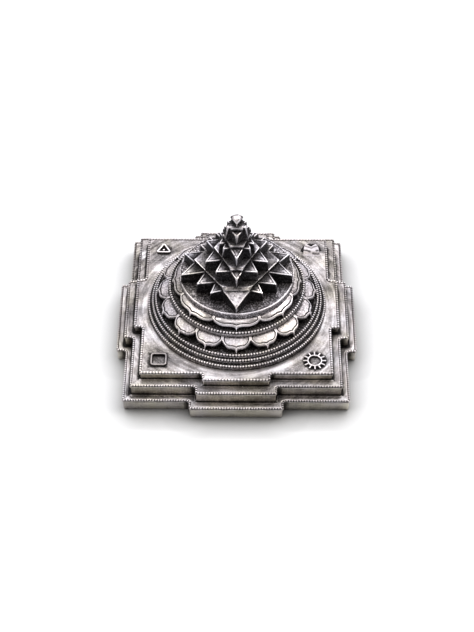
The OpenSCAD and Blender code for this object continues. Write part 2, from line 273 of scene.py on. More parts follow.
def tier_outline(tier, insets, spacing, convex_r, concave_r, arc=6):
    """The tier's plan at each inset, with quarter arcs at its corners and evenly spaced points between them;
    the tier's own four corners are tighter than the gates'.
    An arc at the corner b is b + (ahead - last) r - ahead r cos(u) + last r sin(u)."""
    insets = np.atleast_1d(np.asarray(insets, float))
    b = tier_corners(tier, insets)
    last = unit(b[0] - np.roll(b[0], 1, axis=0))
    ahead = np.roll(last, -1, axis=0)
    convex = np.tile([0.55, 0, 1, 1, 0], 4)
    hollow = np.tile([0, 1, 0, 0, 1], 4)
    r = convex * np.reshape(convex_r, (-1, 1)) + hollow * np.reshape(concave_r, (-1, 1))
    r = r[..., None, None]
    u = np.linspace(0, math.pi / 2, arc)[:, None]
    turn = ahead - last
    arcs = b[:, :, None] + r * (turn[:, None] - ahead[:, None] * np.cos(u) + last[:, None] * np.sin(u))
    begin = arcs[:, :, -1]
    end = np.roll(arcs[:, :, 0], -1, axis=1)
    runs = []
    for k in range(20):
        count = max(2, int(np.linalg.norm(end[0, k] - begin[0, k]) / spacing))
        part = (np.arange(1, count) / count)[:, None]
        runs.append(arcs[:, k])
        runs.append(begin[:, k, None] + (end[:, k, None] - begin[:, k, None]) * part)
    return np.concatenate(runs, axis=1)


def tier_wall_rows(h, painted_shade):
    """Inset, height and darkness up a tier's wall, round its rounded cornice and across the wire's rebate.
    The darkness paints a highlight on the cornice and shade just under it, and the wire's rebate is dark with
    oxide and painted shade. The last argument is painted shade: how much darker the wall grows at its foot."""
    under = h - CORNICE_H
    rebate = h - WIRE_SINK
    wall = CORNICE_OUT
    clean = 1 - painted_shade
    return np.array([
        (wall + 0.12 + 0.16 * clean, 0.0, 0.5 + 0.45 * painted_shade), (wall + 0.1 * clean, 0.1, 0.06 + 0.84 * painted_shade),
        (wall + 0.05 * clean, 0.3, 0.54 * painted_shade), (wall, 0.6, 0.36 * painted_shade),
        (wall, 0.5 * under, 0.08 + 0.2 * painted_shade), (wall, under - 0.3, 0.2 + 0.06 * painted_shade),
        (wall - 0.01, under - 0.12, 0.38), (wall - 0.06, under, 0.36), (0.14, under + 0.1, 0.22),
        (0.05, under + 0.22, 0.16), (0.0, under + 0.36, 0.12), (0.0, rebate - 0.1, 0.14),
        (0.05, rebate - 0.02, 0.24), (0.15, rebate, 0.4), (0.35, rebate, 0.75),
        (0.55, rebate + 0.05, 0.6), (0.66, h - 0.16, 0.36), (0.72, h - 0.05, 0.2), (0.82, h, 0.2),
    ])


def tread_tarnish_and_shade(tier, xy):
    """Tarnish and painted shade of the tread round the next tier: at the sides a band of painted shade along
    its wall, wider on the left, and in front painted shade in the joint with a bright line beside it and
    softer painted shade further out. It is lighter behind. On the lowest tread the left side is darker in two
    places and the outer edge lighter."""
    x, y = np.moveaxis(xy, -1, 0)
    corners = tier_corners(tier + 1, CORNICE_OUT)
    near = distance_to_sides(xy, corners, np.roll(corners, -1, axis=0))
    sides = np.abs(x) > np.abs(y)
    band = np.where(x < 0, fade(near, 0.7, 1.2), fade(near, 0.5, 0.95)) * (1 + 0.7 * gain(y, 4, 10))
    joint = 0.5 * fade(near, 0.12, 0.34) - 0.4 * fade(np.abs(near - 0.52), 0.06, 0.2)
    soft = np.where(sides, 0.36, 0.24) * fade(near, 0.4, 1.7)
    lighter = 1 - 0.6 * (y > 20) * ~sides
    tone = lighter * (np.where(sides, 0.12 + 0.55 * band, joint) + soft)
    if tier == 0:
        left = (x < 0) * sides
        tone += left * (0.3 * fade(np.abs(y - 16), 3, 9) + 0.12 * fade(y, -22, -8))
        tone -= 0.15 * gain(np.abs(x), 34.5, 36)
    return tone


def plate_tarnish_and_light(xy):
    """Tarnish and painted light of the plate: oxide and painted shade at the foot of the steps, painted
    highlights on the front gate, at its flanks and in spots, and an arc in front of the steps that turns from
    painted shade to a painted highlight. Painted shade darkens it behind, at the left and at its front right
    corner, and it is a little lighter at its right edge. The emblems add their own painted shade."""
    x, y = np.moveaxis(xy, -1, 0)
    reach = length(xy)
    step_foot = fade(reach - STEP_R[0], 0.04, 0.24)
    front_gate = fade(y, -29, -25) * fade(np.abs(x), 10, 20)
    arc = fade(np.abs(reach - 29.8), 0.5, 1.6) * fade(y, -27, -20)
    flanks = fade(np.abs(y - 10), 8, 15) * gain(np.abs(x), 23, 26)
    left_front = fade(x, -26, -16) * fade(y, -22, -14)
    left_back = fade(x, -26, -18) * gain(y, 4, 12)
    tone = 0.6 * step_foot - 0.16 * front_gate + (0.08 - 0.36 * gain(x, -2, 7)) * arc - 0.1 * flanks
    tone += 0.14 * left_front + 0.08 * left_back + 0.16 * gain(y - 0.1 * x, -22, 10)
    tone += 0.14 * gain(x - y, 34, 42) - 0.05 * gain(x, 23, 27) - 0.04 * fade(y - 0.5 * x, -36, -24)
    for spot in PLATE_HIGHLIGHTS:
        tone -= 0.16 * fade(length(xy - np.array(spot)), 0.5, 4.5)
    return tone + emblem_shade(xy)


def tier_sheet(tier, spacing, lands):
    """A hollow tier: rows of its plan up the wall and over the cornice, then across the top to its opening,
    where each row lies between the plan and the opening, then the underside and the inner wall."""
    h = TIER_H[tier]
    rows = tier_wall_rows(h, 0.0 if tier == 0 else 1.0)
    insets = np.concatenate([rows[:, 0], [rows[-1, 0], CORNICE_OUT + WALL_T]])
    plan = tier_outline(
        tier, insets, spacing, np.maximum(0.9 - insets, 0.15), np.minimum(0.95 + insets, 1.4)
    )
    wall = plan[:-2]
    edge = plan[-2]
    inner = plan[-1]
    way = unit(edge)
    if tier < 2:
        opening = TIER_HALF[tier + 1] - CORNICE_OUT - 2 * WALL_T
        mouth = way * (opening / np.abs(way).max(axis=1, keepdims=True))
    else:
        mouth = way * WELL_R
    top = edge + (mouth - edge) * np.asarray(lands)[1:, None, None]
    xy = np.concatenate([wall, top, mouth[None], inner[None], inner[None]])
    z = np.concatenate([rows[:, 1], np.full(len(top), h), [h - TOP_T, h - TOP_T, 0.0]])
    dark = np.concatenate([rows[:, 2], np.full(len(top), 0.26), [0.6, 0.6, 0.6]])
    dark = np.broadcast_to(dark[:, None], xy.shape[:2]).copy()
    count = len(wall)
    flat = slice(count, count + len(top))
    dark[flat] += tread_tarnish_and_shade(tier, top) if tier < 2 else plate_tarnish_and_light(top)
    dark[flat] += (0.3 - dark[flat]) * gain(top[..., 1], 27, 30)
    # Painted sheen: the front walls are lighter, more on the right and most on the lowest tier.
    wall_x, wall_y = np.moveaxis(wall, -1, 0)
    rub_and_sheen = 0.06 * gain(wall_x, -4, 6) + (0.16 if tier == 0 else 0.06)
    dark[:count] -= rub_and_sheen * fade(wall_y, -26, -22)
    # Oxide and painted shade in the hollow corners beside the gates, on the wall below the wire's rebate.
    below_rebate = np.arange(len(xy)) < count - 6
    dark += 0.75 * gate_corner_shade(tier, xy) * below_rebate[:, None]
    points = raised(xy, z[:, None] + TIER_FOOT[tier])
    return sheet(points, dark, close_rows=True)


def solder_specks(tier):
    """Small beads of solder at the foot of the front walls, where they met the tier below."""
    return [dome_dot(place, 0.24, 0.22, TIER_TOP[tier]) for place in SOLDER_SPECKS[tier]]


def gate_corner_shade(tier, xy):
    """Oxide and painted shade in the inner corners beside the gates: 1 in them, falling to 0 at 2.3
    millimetres from them.
    """
    corners = tier_corners(tier, CORNICE_OUT).reshape(4, 5, 2)[:, [1, 4]].reshape(-1, 2)
    return fade(length(xy[..., None, :] - corners).min(axis=-1), 0.9, 2.3)


def emblem_shade(xy):
    """Painted shade round the emblems: a dark band round each emblem, and inside the closed ones a painted
    shadow that falls from the left and the back."""
    total = np.zeros(xy.shape[:-1])
    for side_x, side_y, half, strength, plain, end, fill in EMBLEM_SHADE:
        off = xy - np.array([side_x * EMBLEM_AT, side_y * EMBLEM_AT])
        reach = np.abs(off).max(axis=-1) if side_x == side_y else length(off)
        outside = strength * fade(reach - half, plain, end)
        shadow = np.minimum(half - 0.6 + off[..., 0], half - 0.6 - off[..., 1])
        inside = fill + 0.65 * fade(shadow, 0.1, 0.8)
        total += np.where(reach < half - 0.35, inside, outside)
    return total


# Beaded wire


def beaded_wire(path, z, count, gap, facing_shade, bead_r, waist_r=0.2):
    """A tube along a closed path whose radius follows a row of balls: r = sqrt(ball squared - x squared),
    where x is the way along the wire from the middle of a ball, and never less than the waist. The gap is the
    darkness between the balls, oxide and painted shade, and the balls' undersides carry painted shade. A
    further tone darkens the wire with painted shade along the back half of the sides, at the right front and
    at the far edge."""
    pitch = path_length(path) / count
    phase = np.array([0.0, 0.12, 0.3, 0.5, 0.7, 0.88])
    centre = along_path(path, ((np.arange(count)[:, None] + phase) * pitch).ravel())
    tangent = unit(np.roll(centre, -1, axis=0) - np.roll(centre, 1, axis=0))
    x = centre[:, :1]
    y = centre[:, 1:]
    off = np.tile((phase - 0.5) * pitch, count)[:, None]
    r = np.sqrt(np.maximum(bead_r ** 2 - off ** 2, waist_r ** 2))
    angle = np.linspace(0, 2 * math.pi, 8, endpoint=False) + math.pi / 8
    points = np.stack([
        x + r * tangent[:, 1:] * np.cos(angle),
        y - r * tangent[:, :1] * np.cos(angle),
        z + r * np.sin(angle),
    ], axis=-1)
    waist = 1 - (r - waist_r) / (bead_r - waist_r)
    below = fade(np.sin(angle), -0.5, 0.3)
    across = np.abs(tangent[:, :1])
    far = gain(y, 27, 30)
    away = (1 - across) * gain(y, -20, 4) + 0.7 * fade(y, -27, -24) * gain(x, 0, 12) + 0.9 * far
    between = gap * (1 - 0.35 * far) * (2 - across)
    return sheet(points, between * waist ** 1.5 + 0.6 * below + facing_shade * away, close_rows=True)


def ring_path(r, count=720):
    """A circle of radius r as a closed path."""
    angle = np.linspace(0, 2 * math.pi, count, endpoint=False)
    return r * np.stack([np.cos(angle), np.sin(angle)], axis=-1)


# Round steps, collar and dish


def trimmed_ring(r, h, z, riser):
    """A flat ring with painted shade that darkens it behind and a little painted light in front: rounded
    foot, riser of the given tone, rebate for its wire, tread, bore. Its rebate and tread are dark with oxide
    and painted shade.
    """
    rebate = h - WIRE_SINK
    profile = np.array([
        (r - 0.08, 0.0, 1.0), (r, 0.08, 0.85), (r, 0.22, riser + 0.15), (r, 0.5 * rebate + 0.1, riser),
        (r, rebate - 0.1, riser), (r - 0.05, rebate - 0.01, 0.5), (r - 0.15, rebate, 0.9),
        (r - 0.6, rebate, 1.0), (r - 0.7, rebate + 0.1, 1.0), (r - 0.74, h - 0.08, 0.8), (r - 0.82, h, 0.68),
        (r - 1.1, h, 0.78), (r - 1.7, h, 0.86), (r - 2.6, h, 0.95), (WELL_R, h, 0.9), (WELL_R, 0.0, 0.8),
    ])
    profile[:, 1] += z
    ring, dark, *closed = turned(profile[:, :2], 240, profile[:, 2])
    back = ring[..., 1] / r
    return sheet(ring, dark + 0.28 * gain(back, -0.75, -0.2) - 0.08 * fade(back, -0.95, -0.8), *closed)


def dish_sheet():
    """The dish: a floor from the pole out to the rim's foot, a rounded rim, and a wall with a soft hollow.
    The floor is black with oxide and painted shade under the stars and lighter towards the rim; the rim's
    back half carries painted shade.
    """
    top = DISH_Z + DISH_H
    inside = DISH_R - RIM_T
    profile = np.array([
        (0.0, FLOOR_Z, 1.15), (8.0, FLOOR_Z, 1.15), (11.5, FLOOR_Z, 0.96), (14.0, FLOOR_Z, 0.74),
        (inside - 1.2, FLOOR_Z, 0.58), (inside - 0.3, FLOOR_Z, 0.5), (inside, FLOOR_Z + 0.04, 0.6),
        (inside + 0.04, top - 0.06, 0.45), (inside + 0.1, top, 0.1), (DISH_R - 0.16, top, 0.04),
        (DISH_R - 0.05, top - 0.05, 0.08), (DISH_R, top - 0.18, 0.24), (DISH_R - 0.02, top - 0.6, 0.42),
        (DISH_R - 0.05, DISH_Z + 1.0, 0.48), (DISH_R - 0.05, DISH_Z + 0.5, 0.56),
        (DISH_R, DISH_Z + 0.2, 0.75), (DISH_R, DISH_Z, 1.0), (WELL_R, DISH_Z, 0.8), (0.0, DISH_Z, 0.8),
    ])
    dish, dark, *closed = turned(profile[:, :2], 240, profile[:, 2], close_rows=False)
    rim = (profile[:, 2] < 0.3)[:, None]
    return sheet(dish, dark + 0.26 * rim * gain(dish[..., 1], -12, -2), *closed)


# Lotus rings

# Where a petal's lobe ends, and how its curve leaves the notch
LOBE_FOOT = 0.36
LOBE_SLANT = 0.91
LOBE_RISE = 0.45
# Half the gap between petals, and how far a petal runs in under the seat
PETAL_GAP = 0.01
SEAT_LAP = 0.4
# Rows of a petal's sheet up to the crest of its rim, and the row of its engraved line
RIM_ROWS = 9
LINE_ROW = 11


def petal_outline(n, notch_r, tip_r, point, seat_r, inset):
    """Closed plan of a petal towards +Y, drawn in by inset: round the seat's circle, out along the side,
    round the lobe on a cubic curve that leaves the notch at a slant, then a hollow curve
    point (1 - x/foot)^1.9 to the tip; then mirrored."""
    d = np.asarray(inset, float)[:, None]
    base = notch_r * math.cos(math.pi / n)
    wide = notch_r * math.sin(math.pi / n) - PETAL_GAP
    top = tip_r - point
    foot = LOBE_FOOT * wide
    turn = np.linspace(0, math.pi / n, 6)
    seat_x = (seat_r - SEAT_LAP) * np.sin(turn)
    seat_y = (seat_r - SEAT_LAP) * np.cos(turn)
    run = np.linspace(seat_r, notch_r, 4)[:-1]
    side_x = run * math.sin(math.pi / n) - PETAL_GAP - d
    side_y = run * math.cos(math.pi / n)
    t = np.linspace(0, 1, 11)
    depth = top - base - d
    lobe_x = (
        (wide - d) * ((1 - t) ** 3 + 3 * t * (1 - t) ** 2 * LOBE_SLANT)
        + (foot + 0.5 * (wide - foot)) * 3 * t ** 2 * (1 - t)
        + foot * t ** 3
    )
    lobe_y = base + depth * (3 * t * (1 - t) ** 2 * LOBE_RISE + 3 * t ** 2 * (1 - t) + t ** 3)
    k = np.array([0.86, 0.7, 0.54, 0.38, 0.25, 0.14, 0.06, 0.0])
    tip_x = np.broadcast_to(foot * k, (len(d), len(k)))
    tip_y = top - d + (point - 0.2 * d) * (1 - k) ** 1.9
    ones = np.ones_like(d)
    half_x = np.concatenate([seat_x * ones, side_x, lobe_x, tip_x], axis=1)
    half_y = np.concatenate([seat_y * ones, side_y * ones, lobe_y, tip_y], axis=1)
    x = np.concatenate([half_x, -half_x[:, -2::-1]], axis=1)[:, :-1]
    y = np.concatenate([half_y, half_y[:, -2::-1]], axis=1)[:, :-1]
    return np.stack([x, y], axis=-1)


def petal_keel(tip_r, tip_h, width, z):
    """The thin keel from a petal's tip down to what carries it, towards +Y: its half width grows with the
    cube of the height, and its rounded ridge leans outwards to the foot."""
    s = np.array([0.0, 0.0, 0.2, 0.4, 0.6, 0.75, 0.88, 1.0, 1.0])[:, None]
    across = np.array([-1.0, -1.0, -0.7, -0.35, 0.0, 0.35, 0.7, 1.0, 1.0])
    behind = np.array([0.9, 0.22, 0.1, 0.025, 0.0, 0.025, 0.1, 0.22, 0.9])
    half = 0.15 + width * s ** 3
    open_row = np.ones_like(s)
    open_row[[0, -1]] = 0
    x = half * across * open_row
    y = tip_r + 0.32 * (1 - s) - behind * open_row
    height = np.broadcast_to(s * (tip_h - 0.1) + z, x.shape)
    shade = 0.8 * np.abs(across) ** 3 * open_row + 0.2 * (1 - s)
    return np.stack([x, y, height], axis=-1), shade


def petal_ring(n, notch_r, tip_r, point, tip_h, seat_r, seat_h, z, rim, keel, dusk):
    """A ring of petals. Each is a closed sheet of nested outlines: a spine below, the foot, an undercut, an
    upright edge, a rounded rim, an engraved line and a panel that runs in to the spine above. Its top lies on
    the plane that falls from the seat to the tip. The dusk is how early painted shade darkens the ring to the
    back. The panels carry painted shade near the seat, and a ground black with oxide and painted shade lies
    under the petals."""
    rows = np.array([
        (0.75, 0.0, 0.0, 1.0), (0.65, 0.25, 0.0, 1.0), (0.35, 0.5, 0.0, 0.9), (0.08, 0.64, 0.0, 0.62),
        (0.0, 0.76, 0.0, 0.4), (0.0, 0.92, 0.0, 0.24), (0.0, 1.0, -0.26, 0.1), (0.04, 1.0, -0.1, 0.0),
        (0.13, 1.0, 0.0, 0.0), (0.26, 1.0, 0.04, 0.0), (rim - 0.17, 1.0, 0.0, 0.04),
        (rim - 0.07, 1.0, -0.14, 0.8), (rim + 0.04, 1.0, -0.22, 1.0), (rim + 0.13, 1.0, -0.15, 0.7),
        (rim + 0.24, 1.0, -0.06, 0.08),
    ])
    plan = petal_outline(n, notch_r, tip_r, point, seat_r, rows[:, 0])
    spine = np.zeros_like(plan[-1])
    spine[:, 1] = np.minimum(length(plan[-1]), tip_r - point - rim - 0.5)
    mid = 0.5 * (plan[-1] + spine)
    xy = np.concatenate([spine[None], plan, mid[None], spine[None]])
    row = np.arange(len(xy))[:, None]
    share = np.concatenate([[0.0], rows[:, 1], [1.0, 1.0]])[:, None]
    relief = np.concatenate([[0.0], rows[:, 2], [-0.03, -0.02]])[:, None]
    tone = np.concatenate([[1.0], rows[:, 3], [0.0, 0.02]])[:, None]
    column = np.arange(xy.shape[1])
    joint = fade(np.minimum(column, xy.shape[1] - column), 9, 11) * (row < RIM_ROWS)
    out = (length(xy) - seat_r) / (tip_r - seat_r)
    plane = np.minimum(seat_h, seat_h - (seat_h - tip_h) * out)
    height = np.where(share == 1, plane + relief * (1 - joint), share * (plane - 0.24))
    # Painted shade on the panel near the seat.
    panel = (0.35 * fade(out, 0.02, 0.16) + 0.1 * fade(out, 0.1, 0.5)) * (row > LINE_ROW)
    dark = tone * (1 - joint * (share == 1)) + panel
    points = raised(xy, height + z)
    fin, fin_dark = petal_keel(tip_r, tip_h, keel, z)
    # Painted shade that darkens the petals towards the back.
    turns = math.pi + np.arange(n) * 2 * math.pi / n
    shades = 0.34 * np.minimum(1, dusk + np.cos(turns)) - 0.04 * np.maximum(0, np.cos(turns))
    petals = [sheet(rotated(points, turn), dark + shade) for turn, shade in zip(turns, shades)]
    petals += [sheet(rotated(fin, turn), fin_dark) for turn in turns]
    low = notch_r - 0.6
    core = [(WELL_R, 0), (seat_r - 0.1, 0), (seat_r - 0.1, seat_h - 0.02), (WELL_R, seat_h - 0.02)]
    # A ground black with oxide and painted shade under the petals.
    ground = [(seat_r - 0.5, 0), (low, 0), (low, 0.5), (seat_r - 0.5, seat_h - 0.3)]
    core = turned(np.array(core) + np.array([0, z]), 160, np.full(4, 0.9))
    return petals + [core, turned(np.array(ground) + np.array([0, z]), 160, np.full(4, 1.0))]


# The star tower

# Cross lines of the nine interlaced triangles in a circle of 48 parts, counted from the back to the front
LINES = (0, 7.4, 12, 17, 20, 23, 27, 30, 36, 40.6)
# For each star from the lowest up: how much painted shade its front point takes on towards the field, how far
# the corners of its front and other points are cut back, and how wide the front edge of its field is worn
FRONT_INNER_SHADE = (0.28, 0.7, 0.65, 0.85)
FRONT_FACET = (0.46, 0.7, 0.75, 0.8)
SIDE_FACET = (0.2, 0.25, 0.35, 0.3)
FIELD_WEAR = (0.66, 0.32, 0.18, 0.24)
# How far a point runs in under the field, and the width of its bright edge
POINT_LAP = 0.3
POINT_EDGE = 0.3


def chord_half(y):
    """Half the circle's chord on line y."""
    return math.sqrt(MIDDLE_LINE ** 2 - (MIDDLE_LINE - y) ** 2)


def half_at(triangle, y):
    """Half width of a triangle on line y: its slope times the way from its tip."""
    return triangle[1] * abs(y - triangle[0])


def side_through(tip, x, y):
    """Slope of the side that leaves the tip and passes half width x on line y."""
    return x / abs(y - tip)


def star_triangles():
    """The triangles of the four stars and the centre: tip, slope and base line, each fitted to the last."""
    line = LINES
    front = 2 * MIDDLE_LINE
    down_1 = (front, side_through(front, chord_half(line[3]), line[3]))
    up_1 = (0, side_through(0, chord_half(line[7]), line[7]))
    s9 = side_through(line[3], half_at(down_1, line[8]) + NOTCH_LAND, line[8])
    s8 = side_through(line[1], half_at(down_1, line[7]) + NOTCH_LAND, line[7])
    s2 = side_through(line[9], half_at(up_1, line[3]) + NOTCH_LAND, line[3])
    s1 = side_through(line[6], half_at(up_1, line[2]) + NOTCH_LAND, line[2])
    s4 = side_through(line[8], half_at((line[1], s8), line[4]), line[4])
    s6 = side_through(line[2], half_at((line[9], s2), line[6]), line[6])
    s5 = side_through(line[7], half_at((line[2], s6), line[5]), line[5])
    stars = (
        (
            (down_1 + (line[3],), (line[9], s2, line[2]), (line[6], s1, line[1])),
            (up_1 + (line[7],), (line[1], s8, line[8]), (line[3], s9, line[9])),
        ),
        (((line[9], s2, line[3]), (line[6], s1, line[2])), ((line[1], s8, line[7]), (line[3], s9, line[8]))),
        (((line[8], s4, line[4]), (line[6], s1, line[3])), ((line[2], s6, line[6]), (line[3], s9, line[7]))),
        (((line[7], s5, line[5]), (line[6], s1, line[4])), ((line[3], s9, line[6]),)),
    )
    return stars, (line[6], s1, line[5])


def crossing(down, up):
    """Where the side of a triangle that points to the front meets the side of one that points to the back."""
    y = (down[1] * down[0] + up[1] * up[0]) / (down[1] + up[1])
    return half_at(down, y), y


def star_plan(corners):
    """Corners (x, line) of the figure as plan points in millimetres."""
    return np.stack([corners[:, 0], MIDDLE_LINE - corners[:, 1]], axis=-1) * PART


def star_points(star):
    """The points of one star as plan corners (notch, tip, notch), then its field's six corners."""
    downs, ups = star
    main = downs[0]
    back = ups[0]
    chain = [(0, main[0])]
    above = main
    for up in reversed(ups):
        chain.append((half_at(above, up[2]), up[2]))
        chain.append((half_at(up, up[2]), up[2]))
        above = up
    chain.append(crossing(main, back))
    chain.append((half_at(main, main[2]), main[2]))
    base = main[2]
    for down in downs[1:]:
        chain.append((half_at(down, base), base))
        chain.append((half_at(down, down[2]), down[2]))
        base = down[2]
    chain.append((half_at(back, base), base))
    chain.append((0, back[0]))
    right = np.array(chain, float)
    plan = star_plan(np.concatenate([right, right[-2:0:-1] * [-1, 1]]))
    tips = [(plan[k - 1], plan[k], plan[(k + 1) % len(plan)]) for k in range(0, len(plan), 2)]
    first = (half_at(main, ups[-1][2]), ups[-1][2])
    last = (half_at(back, downs[-1][2]), downs[-1][2])
    half = np.array([first, crossing(main, back), last])
    return tips, star_plan(np.concatenate([half, half[::-1] * [-1, 1]]))


def point_rows(size, plain):
    """Inset, drop below the top and darkness across a star's point: bevel, frame, engraved line and panel."""
    if plain:
        return np.array([
            (0.0, 0.12, 0.1), (0.06, 0.03, 0.0), (0.16, 0.0, 0.0), (0.5, 0.0, 0.06), (1.0, 0.0, 0.1),
        ])
    line = 0.5 * size
    return np.array([
        (0.0, 0.14, 0.04), (0.05 * size, 0.04, 0.0), (0.15 * size, 0.0, 0.0), (0.36 * size, 0.02, 0.02),
        (line - 0.03, 0.12, 0.7), (line + 0.05, 0.15, 1.0), (line + 0.16 * size, 0.09, 0.12),
    ])


def star_point(a, t, b, foot, reach, inner_shade, facet, proud, draft, sag, grow):
    """One point of a star: nested triangles with two sides drawn in by d and the third on the field's side.
    The drawn in tip is t + bisector d / sin(half angle), and the ends lie where the sides meet the third. The
    walls lean in by the draft on their way up. The argument after the reach is how much painted shade the
    point takes on towards the field, the facet is how far its corner is cut back at the top, the sag is how
    far its tip hangs below the others, and it grows wider by grow at its edge. A proud point stands as high
    as the field. Its walls are black with oxide and painted shade, its arrises carry painted highlights,
    points facing the back take on more painted shade, and painted shade lies along the foot of the field's
    wall."""
    left = unit(a - t)
    right = unit(b - t)
    bisector = unit(left + right)
    sine = abs(left[0] * bisector[1] - left[1] * bisector[0])
    base = unit(b - a)
    inward = np.array([-base[1], base[0]])
    inward *= np.sign(inward @ (a - t))
    depth = inward @ (a - t) + POINT_LAP
    limit = depth / (inward @ bisector) * sine
    face = point_rows(min(1.0, limit / 1.5), inner_shade < 0.3)
    rest = np.array([(k, 0.06, 0.0) for k in np.linspace(face[-1, 0], limit, 6)[1:]])
    face = np.concatenate([face, rest])
    # Painted highlight down the arris, at four heights up the wall.
    painted_highlight = (0.2, 0.65, 0.85, 0.95) if facet > 0.4 else (0.1, 0.2, 0.5, 0.85)
    wall = np.array([(0.0, 0.95), (0.4, 1.05), (0.7, 1.15), (0.93, 1.05)])
    d = np.concatenate([[limit], draft * wall[:, 0], face[:, 0] + draft])
    d = np.minimum(d, limit)[:, None]
    d = d - grow * (1 - d / limit)
    share = np.concatenate([[0.0], wall[:, 0], np.ones(len(face))])[:, None]
    drop = np.concatenate([np.zeros(5), face[:, 1]])[:, None]
    dark = np.concatenate([[1.0], wall[:, 1], face[:, 2]])[:, None]
    arris = np.concatenate([[0.0], painted_highlight, np.zeros(len(face))])[:, None]
    tip = t + bisector * d / sine
    room = depth - (tip - t) @ inward
    end_left = tip + left * (room / (inward @ left))[:, None]
    end_right = tip + right * (room / (inward @ right))[:, None]
    cut = facet * np.where(share == 1, np.clip(1 - (d - draft) / POINT_EDGE, 0, 1), share)
    cut_left = tip + left * cut
    cut_right = tip + right * cut
    nose = 0.5 * (cut_left + cut_right) * 0.8 + 0.2 * tip
    u = np.array([0, 0.12, 0.35, 0.6, 0.8, 0.92, 0.975])[:, None]
    v = np.linspace(0, 1, 5)[:-1, None]
    legs = [
        end_left[:, None] + (cut_left - end_left)[:, None] * u,
        np.stack([cut_left, nose], axis=1),
        cut_right[:, None] + (end_right - cut_right)[:, None] * np.concatenate([[[0.0]], 1 - u[:0:-1]]),
        end_right[:, None] + (end_left - end_right)[:, None] * v,
    ]
    xy = np.concatenate(legs, axis=1)
    sloping = POINT_H + POINT_SLOPE * (reach - length(xy))
    top = np.full_like(sloping, STAR_H - 0.06) if proud else sloping
    away = length(xy - t) / length(0.5 * (a + b) - t)
    top = top - sag * np.clip(1 - away, 0, 1)
    # Painted shade that darkens the points that face the back.
    back_shade = 0.42 * np.clip(0.35 + 0.9 * t[1] / length(t), 0, 1)
    painted_shade = (gain(away, 0.3, 0.9) * inner_shade + back_shade) * np.where(d < draft + POINT_EDGE, 0.18, 1.0)
    if not proud:
        painted_shade = painted_shade + 0.9 * fade(depth - POINT_LAP - (xy - t) @ inward, 0.05, 0.5)
    # Painted highlight down each arris.
    corner = fade(length(xy - tip[:, None]) - cut, 0.04, 0.3)
    return sheet(raised(xy, share * top - drop + foot), dark + (share == 1) * painted_shade - 0.9 * corner * arris)


def star_field(field, foot, top, wear, edge_tone):
    """The raised field: a six-sided prism drawn in by scaling about its middle. The two slanting sides in
    front end in a thin edge of the given tone, the front edge is worn to a slope with a painted highlight
    that grows towards its ends, and the widest corners carry painted highlights. Its walls are black with
    oxide and painted shade, and its back part is darkened with painted shade."""
    middle = field.mean(axis=0)
    part = np.linspace(0, 1, 10, endpoint=False)[:, None]
    edge = (field[:, None] + (np.roll(field, -1, axis=0) - field)[:, None] * part).reshape(-1, 2)
    size = length(field - middle).mean()
    h = top - foot
    slant = np.array([
        (size, h, 1.0), (0.0, h, 1.1), (0.0, 1.2, 1.2), (0.0, 0.6, 1.2), (0.0, 0.12, 1.1), (0.03, 0.04, 0.2),
        (0.08, 0.0, 0.0), (0.24, 0.0, 0.04), (0.4, 0.0, 0.62), (1.0, 0.0, 0.72), (0.6 * size, 0.0, 0.86),
        (size, 0.0, 1.0),
    ])
    worn = np.array([
        (size, h, 1.0), (0.0, h, 1.0), (0.0, 1.2, 0.9), (0.0, 1.3 * wear + 0.08, 0.4),
        (0.04, 1.25 * wear, 0.12), (0.5 * wear, 0.68 * wear, 0.62), (wear, 0.14 * wear, 0.62),
        (1.15 * wear, 0.02, 0.6), (wear + 0.5, 0.0, 0.74), (wear + 1.0, 0.0, 0.82),
        (0.6 * size, 0.0, 0.9), (size, 0.0, 1.0),
    ])
    front = fade(edge[:, 1] - field[:, 1].min(), 0.2, 1.3)
    inset, drop, tone = np.moveaxis(slant[:, None] + (worn - slant)[:, None] * front[:, None], -1, 0)
    ends = np.minimum(1, np.abs(edge[:, 0]) / np.abs(field[0, 0])) ** 2
    tone = tone - 0.55 * front * ends * (tone < 0.63)
    xy = middle + (edge - middle) * (1 - inset / size)[..., None]
    # Painted shade on the back part of the field, under the star above.
    behind = gain(edge[:, 1] - field[1, 1], 0.0, 0.5)
    tone = np.maximum(tone, np.maximum(0.55 * behind, 1.5 * edge_tone * (1 - front)))
    mirrored = np.stack([np.abs(xy[..., 0]), xy[..., 1]], axis=-1)
    painted_highlight = fade(length(mirrored - field[1]), 0.4, 3.0) + fade(length(mirrored - field[0]), 0.4, 2.4)
    tone = tone - 0.4 * (1 - edge_tone) * painted_highlight * (drop == 0)
    return sheet(raised(xy, top - drop), tone)


def star_sheets(star, level):
    """All points of a star and its field, on the foot of its level. The lowest front point is plain, and the
    two beside the top star's front point stand as high as its field."""
    foot = FLOOR_Z + level * STAR_H
    tips, field = star_points(star)
    reach = abs(MIDDLE_LINE - star[0][0][0]) * PART
    last = len(tips) - 1
    sheets = []
    for k, (a, t, b) in enumerate(tips):
        front = k == 0
        beside = k in (1, last)
        inner_shade = FRONT_INNER_SHADE[level] if front else 0.95
        facet = FRONT_FACET[level] if front else SIDE_FACET[level]
        draft = 0.06
        sag = 0.0
        grow = 0.0
        if level == 0:
            sag = 1.1 if front else 0.8 if beside else 0.1
            t = t * (0.997 if front else 1.03 if k in (3, last - 2) else 1.0)
            grow = 0.2 if front else 0.0
        elif level == 2 and beside:
            facet = 0.6
        proud = level == 3 and beside
        if proud:
            inner_shade = 0.28
            facet = 0.8
            draft = 0.2
            t = t * 1.07
        sheets.append(star_point(a, t, b, foot, reach, inner_shade, facet, proud, draft, sag, grow))
    edge_tone = 0.7 if level == 3 else 0.0
    return sheets + [star_field(field, foot, foot + STAR_H, FIELD_WEAR[level], edge_tone)]


